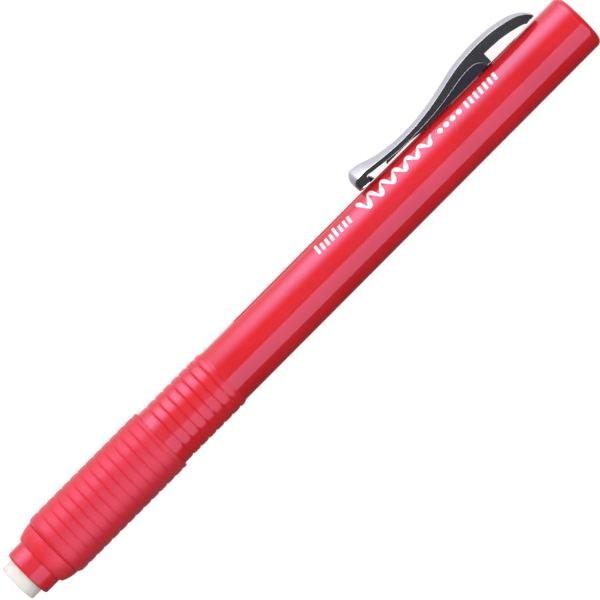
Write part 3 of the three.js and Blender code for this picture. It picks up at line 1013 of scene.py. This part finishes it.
FLOOR_REACH = 3.0
FLOOR_COLOUR = (0.22, 0.225, 0.23, 1)
FLOOR_GLOW = 0.86
BACKDROP_REACH = 3.4
BACKDROP_GLOW = (0.93, 0.94, 0.95, 1)
BLACK = (0, 0, 0, 1)
WHITE = (1, 1, 1, 1)

# What the glossy pieces mirror: each has a way round the holder, and levels by degrees off that way.
SKY_TINT = (0.93, 0.96, 1.0)
WINDOW_WAY = 70
WINDOW = [(0, 1.0), (10, 0.85), (22, 0.45), (34, 0.13), (45, 0.03), (60, 0.01), (90, 0.0065)]
GROUND_WAY = 138
GROUND = [(0, 0.11), (35, 0.11), (52, 0.05), (66, 0.008), (90, 0.0)]
WORLD_POWER = 9.0
TIP_FADE = 1.3
TAIL_FADE = 0.45

# Where the lights point along the holder, in metres from the tail end.
LIT_X = 0.06


def around_holder(degrees):
    """The direction so many degrees round the holder from the camera, positive towards the clip."""
    turn = math.radians(degrees)
    return to_camera * math.cos(turn) + clip_seen * math.sin(turn)


def stage_piece(name, points, faces, finish):
    """Scenery that shows in no reflection."""
    mesh = bpy.data.meshes.new(name)
    mesh.from_pydata(points, [], faces)
    mesh.materials.append(finish.material)
    surface = new_object(name, mesh)
    surface.visible_glossy = False
    return surface


def floor():
    near, far = -FLOOR_REACH, FLOOR_REACH
    corners = [(near, near, 0), (far, near, 0), (far, far, 0), (near, far, 0)]
    finish = Finish(
        "pale_floor",
        Roughness=0.85,
        Base_Color=FLOOR_COLOUR,
        Emission_Color=WHITE,
        Emission_Strength=FLOOR_GLOW,
    )
    stage_piece("floor", corners, [(0, 1, 2, 3)], finish)


def dome():
    """A pale backdrop all round, which lights nothing and shows in no reflection."""
    around, steps = 32, 16
    outline = []
    for k in range(steps + 1):
        turn = math.pi * k / steps
        outline.append((BACKDROP_REACH * math.cos(turn), BACKDROP_REACH * math.sin(turn)))
    finish = Finish(
        "pale_backdrop",
        Roughness=1.0,
        Base_Color=BLACK,
        Emission_Color=BACKDROP_GLOW,
        Emission_Strength=1.0,
    )
    backdrop = stage_piece("backdrop", *revolved(outline, around), finish)
    backdrop.visible_diffuse = False
    backdrop.visible_transmission = False
    backdrop.visible_shadow = False


def softbox(name, degrees, distance, width, length, power, colour=(1, 1, 1)):
    """A long soft light, sized in metres and placed so many degrees round the holder from the camera."""
    way = around_holder(degrees)
    light = bpy.data.lights.new(name, "AREA")
    light.shape = "RECTANGLE"
    light.size = length
    light.size_y = width
    light.energy = power
    light.color = colour
    lamp = new_object(name, light)
    lamp.matrix_world = placed(AXIS + ALONG * LIT_X + way * distance, ALONG, way.cross(ALONG), way)
    lamp.visible_camera = False
    return lamp


def studio_world():
    """A dim room with a bright window low on the clip's side and a pale ground below the holder.

    Both fade sooner towards the tip than towards the tail.
    """
    world = bpy.data.worlds.new("studio")
    world.use_nodes = True
    tree = world.node_tree
    sky = tree.nodes["Background"]
    way = tree.nodes.new("ShaderNodeTexCoord").outputs["Generated"]

    def vector_math(operation, first, second=None):
        """An operation on one socket, or on a socket and a second socket or plain vector."""
        made = tree.nodes.new("ShaderNodeVectorMath")
        made.operation = operation
        tree.links.new(first, made.inputs[0])
        if isinstance(second, bpy.types.NodeSocket):
            tree.links.new(second, made.inputs[1])
        elif second is not None:
            made.inputs[1].default_value = second
        return made.outputs["Value" if operation == "DOT_PRODUCT" else "Vector"]

    even = vector_math("MULTIPLY", way, ((TIP_FADE + TAIL_FADE) / 2, 1, 1))
    size = vector_math("ABSOLUTE", way)
    uneven = vector_math("MULTIPLY", size, ((TIP_FADE - TAIL_FADE) / 2, 0, 0))
    unit = vector_math("NORMALIZE", vector_math("ADD", even, uneven))

    def lobe(degrees, levels):
        facing = vector_math("DOT_PRODUCT", unit, around_holder(degrees))
        stops = []
        for away, level in sorted(levels, reverse=True):
            stops.append((max(math.cos(math.radians(away)), 0), scaled(SKY_TINT, level)))
        return colour_ramp(tree, facing, stops)

    light = vector_math("ADD", lobe(WINDOW_WAY, WINDOW), lobe(GROUND_WAY, GROUND))
    tree.links.new(light, sky.inputs["Color"])
    sky.inputs["Strength"].default_value = WORLD_POWER
    bpy.context.scene.world = world
    world.cycles_visibility.diffuse = False


floor()
dome()
key_light = softbox("softbox_key", degrees=-2, distance=0.9, width=0.8, length=1.2, power=10.2)
key_light.visible_glossy = False
fill_light = softbox("softbox_fill", degrees=52, distance=0.9, width=0.3, length=1.2, power=2.2)
fill_light.visible_glossy = False
top_light = softbox(
    "softbox_top", degrees=-45, distance=0.6, width=0.65, length=1.6, power=10.0, colour=(0.95, 0.97, 1.0)
)
top_light.visible_diffuse = False
studio_world()
bpy.context.scene.view_settings.view_transform = "Standard"
